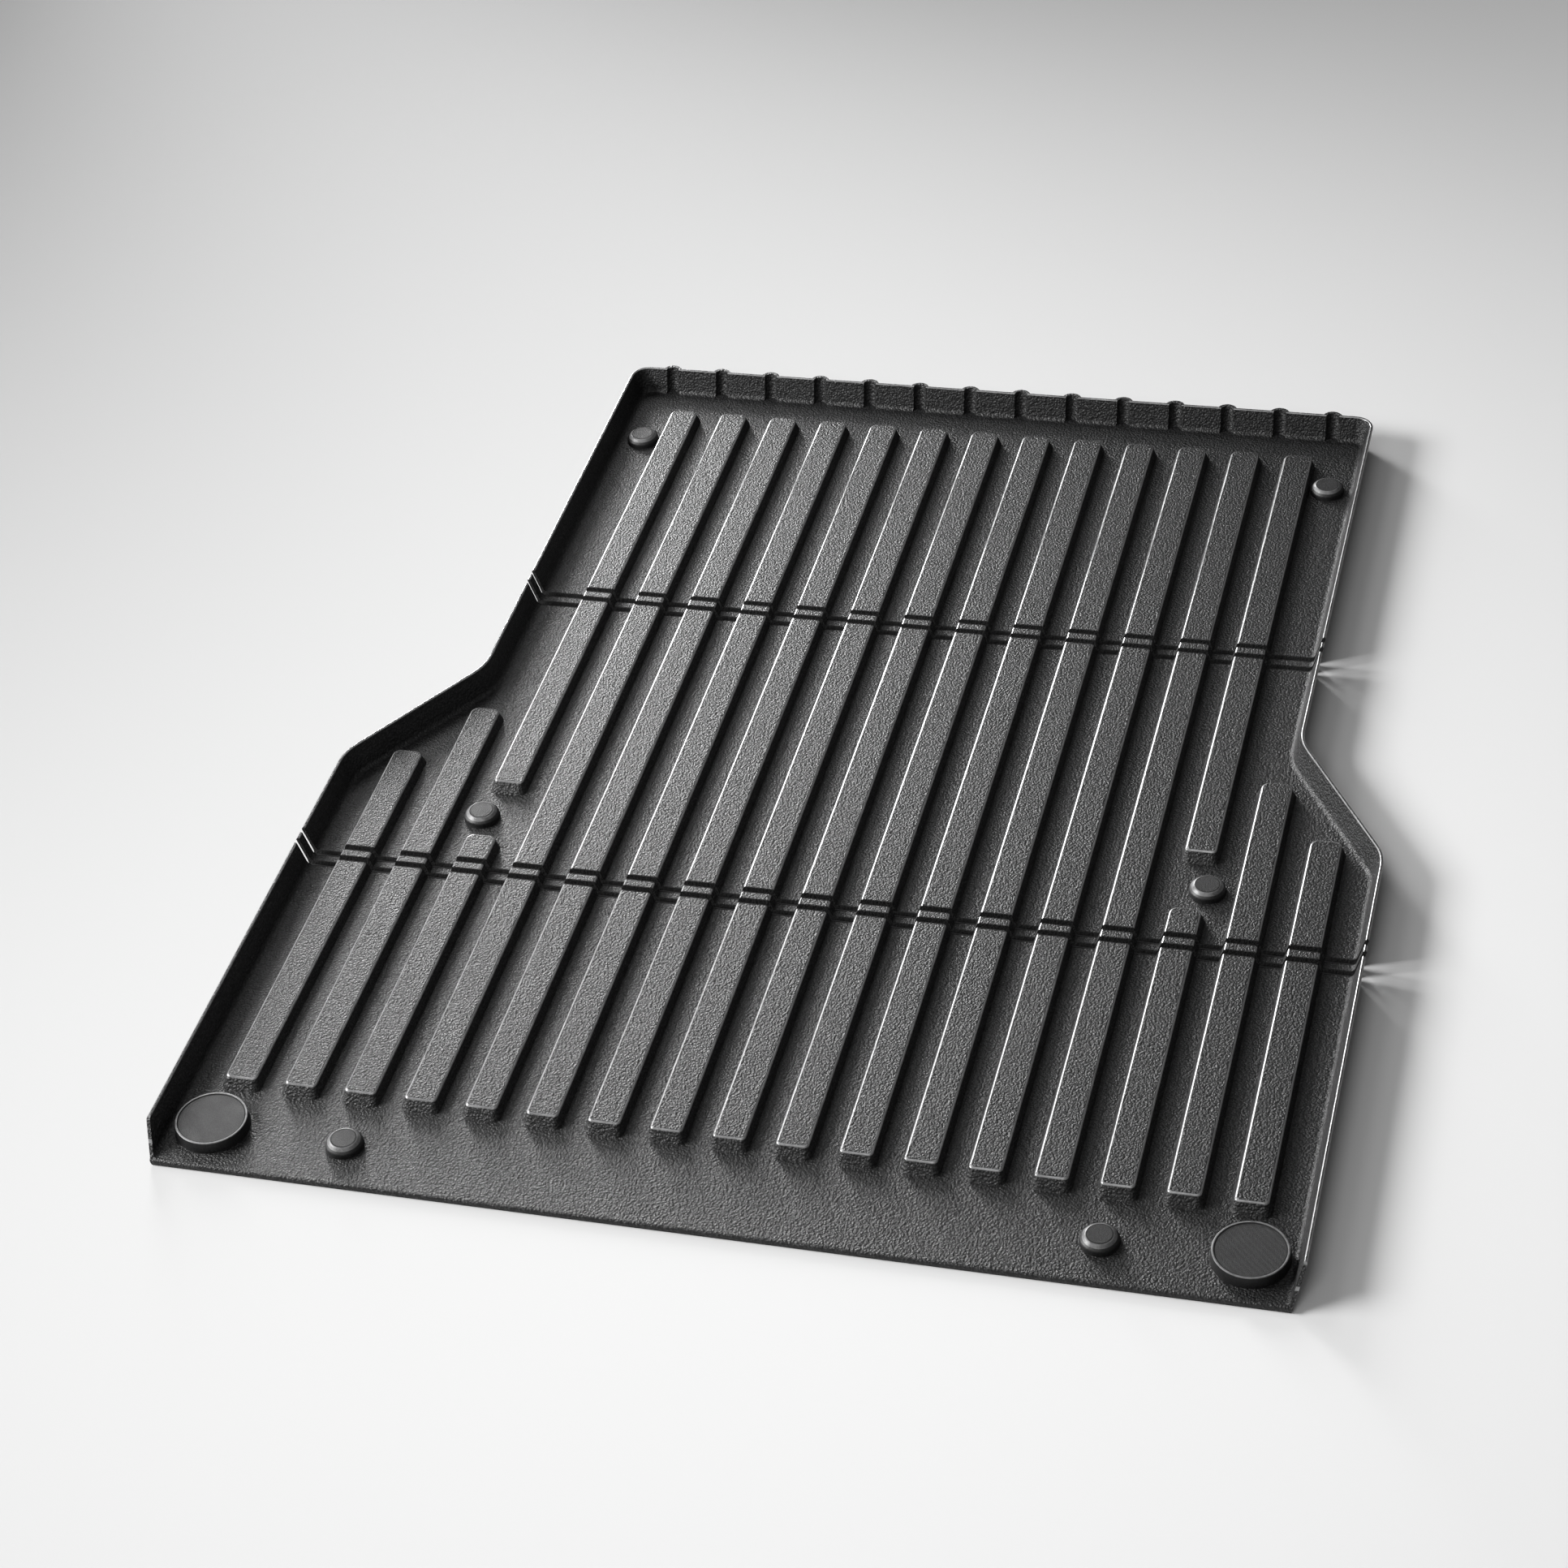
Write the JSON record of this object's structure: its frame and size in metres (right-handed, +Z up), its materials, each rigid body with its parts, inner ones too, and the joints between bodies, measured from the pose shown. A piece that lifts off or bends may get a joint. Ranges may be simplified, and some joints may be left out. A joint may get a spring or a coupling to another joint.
{
  "type": "truck bed liner",
  "caption": "Folding moulded bed liner with a ribbed floor, low side walls, a fluted cab wall, fold lines, corner caps and bolt covers.",
  "frame": {"origin": "under the middle of the overall length and width, on the underside", "axes": "+X to the right seen from the tailgate, +Y towards the cab, +Z up"},
  "size_m": [1.5126, 1.86, 0.047],
  "materials": {
    "panel": "pebble grained, semi-matte",
    "strip": "pebble grained, semi-matte",
    "web": "smooth, matte",
    "cap": "fine grained face with a smooth rim",
    "cover": "fine grained, satin edge"
  },
  "bodies": {
    "middle": {"middle_panel": "panel", "bolt_cover_middle_left": "cover", "bolt_cover_middle_right": "cover"},
    "cab_strip": {"cab_hinge_strip": "strip", "cab_web_inner": "web", "cab_web_outer": "web"},
    "cab": {"cab_panel": "panel", "bolt_cover_cab_left": "cover", "bolt_cover_cab_right": "cover"},
    "tailgate_strip": {"tailgate_hinge_strip": "strip", "tailgate_web_inner": "web", "tailgate_web_outer": "web"},
    "tailgate": {"tailgate_panel": "panel", "bolt_cover_tailgate_left": "cover", "bolt_cover_tailgate_right": "cover"},
    "cap_left": {"corner_cap_left": "cap"},
    "cap_right": {"corner_cap_right": "cap"}
  },
  "joints": [
    {"name": "cab_fold_inner", "type": "hinge", "parent": "middle", "child": "cab_strip", "pos_m": [0, 0.3135, 0.002], "axis": [-1, 0, 0], "range_deg": [0, 70]},
    {"name": "cab_fold_outer", "type": "hinge", "parent": "cab_strip", "child": "cab", "pos_m": [0, 0.3365, 0.002], "axis": [-1, 0, 0], "range_deg": [0, 70]},
    {"name": "tailgate_fold_inner", "type": "hinge", "parent": "middle", "child": "tailgate_strip", "pos_m": [0, -0.307, 0.002], "axis": [1, 0, 0], "range_deg": [0, 90]},
    {"name": "tailgate_fold_outer", "type": "hinge", "parent": "tailgate_strip", "child": "tailgate", "pos_m": [0, -0.33, 0.002], "axis": [1, 0, 0], "range_deg": [0, 90]},
    {"name": "cap_left_lift", "type": "slide", "parent": "tailgate", "child": "cap_left", "axis": [0, 0, 1], "range_m": [0, 0.03]},
    {"name": "cap_right_lift", "type": "slide", "parent": "tailgate", "child": "cap_right", "axis": [0, 0, 1], "range_m": [0, 0.03]}
  ],
  "couplings": [
    {"joint": "cab_fold_outer", "follows": "cab_fold_inner", "ratio": 1},
    {"joint": "tailgate_fold_outer", "follows": "tailgate_fold_inner", "ratio": 1}
  ]
}
